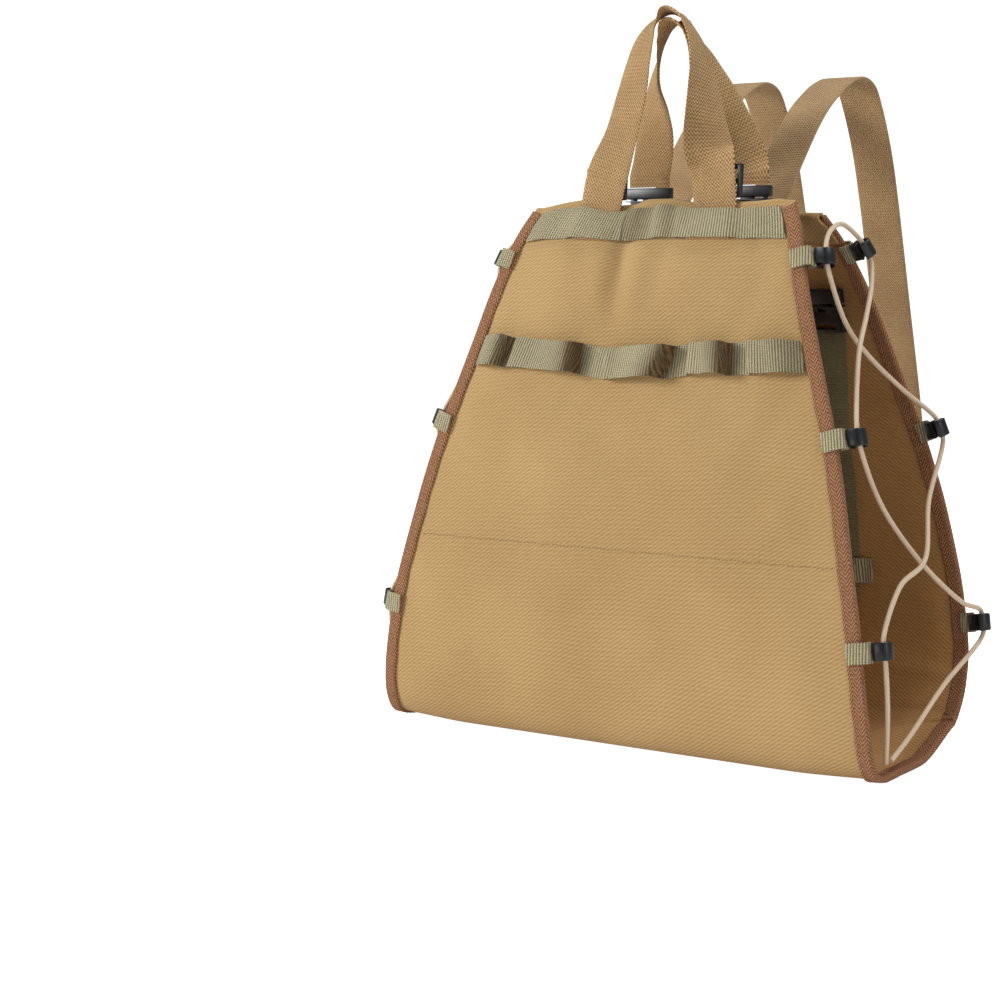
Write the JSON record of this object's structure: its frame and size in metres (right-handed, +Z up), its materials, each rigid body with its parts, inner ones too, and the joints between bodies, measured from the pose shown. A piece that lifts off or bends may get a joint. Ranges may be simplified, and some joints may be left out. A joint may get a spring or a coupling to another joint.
{
  "type": "canvas log carrier",
  "caption": "Canvas log carrier: a bound sheet folded into a bag open at both sides, with hand handles, shoulder straps, a loop strip and laced cords over the open sides.",
  "frame": {"origin": "on the floor, under the middle of the flat part of the base", "axes": "+Z up, -Y towards the front panel with the loop strip, +X to the right seen from the front"},
  "size_m": [0.4728, 0.4271, 0.5702],
  "materials": {
    "canvas": "waxed cotton canvas, fine twill, matt",
    "binding": "herringbone tape, matt",
    "khaki_webbing": "ribbed webbing, low sheen",
    "tan_webbing": "heavy webbing, matt",
    "olive_webbing": "smooth webbing, low sheen",
    "black_plastic": "moulded acetal, satin",
    "elastic_cord": "woven elastic cord"
  },
  "bodies": {
    "root": {"canvas_body": "canvas", "edge_binding_left": "binding", "edge_binding_right": "binding", "top_strip": "khaki_webbing", "loop_strip": "khaki_webbing", "front_handle": "tan_webbing", "rear_handle": "tan_webbing", "handle_buckle_left": "black_plastic", "handle_plate_left": "black_plastic", "handle_buckle_right": "black_plastic", "handle_plate_right": "black_plastic", "shoulder_strap_left": "tan_webbing", "strap_adjuster_left": "black_plastic", "lower_strap_left": "khaki_webbing", "strap_tail_left": "khaki_webbing", "shoulder_strap_right": "tan_webbing", "strap_adjuster_right": "black_plastic", "lower_strap_right": "khaki_webbing", "strap_tail_right": "khaki_webbing", "brace_left": "olive_webbing", "brace_buckle_front_left": "black_plastic", "keeper_front_left": "khaki_webbing", "brace_buckle_back_left": "black_plastic", "keeper_back_left": "khaki_webbing", "brace_right": "olive_webbing", "brace_buckle_front_right": "black_plastic", "keeper_front_right": "khaki_webbing", "brace_buckle_back_right": "black_plastic", "keeper_back_right": "khaki_webbing", "cord_tab_front_left_1": "khaki_webbing", "cord_hook_front_left_1": "black_plastic", "cord_tab_front_left_2": "khaki_webbing", "cord_hook_front_left_2": "black_plastic", "cord_tab_front_left_3": "khaki_webbing", "cord_hook_front_left_3": "black_plastic", "cord_tab_front_right_1": "khaki_webbing", "cord_hook_front_right_1": "black_plastic", "cord_tab_front_right_2": "khaki_webbing", "cord_hook_front_right_2": "black_plastic", "cord_tab_front_right_3": "khaki_webbing", "cord_hook_front_right_3": "black_plastic", "cord_tab_back_left_1": "khaki_webbing", "cord_hook_back_left_1": "black_plastic", "cord_tab_back_left_2": "khaki_webbing", "cord_hook_back_left_2": "black_plastic", "cord_tab_back_left_3": "khaki_webbing", "cord_hook_back_left_3": "black_plastic", "cord_tab_back_right_1": "khaki_webbing", "cord_hook_back_right_1": "black_plastic", "cord_tab_back_right_2": "khaki_webbing", "cord_hook_back_right_2": "black_plastic", "cord_tab_back_right_3": "khaki_webbing", "cord_hook_back_right_3": "black_plastic", "lace_left": "elastic_cord", "lace_right": "elastic_cord"}
  },
  "joints": []
}
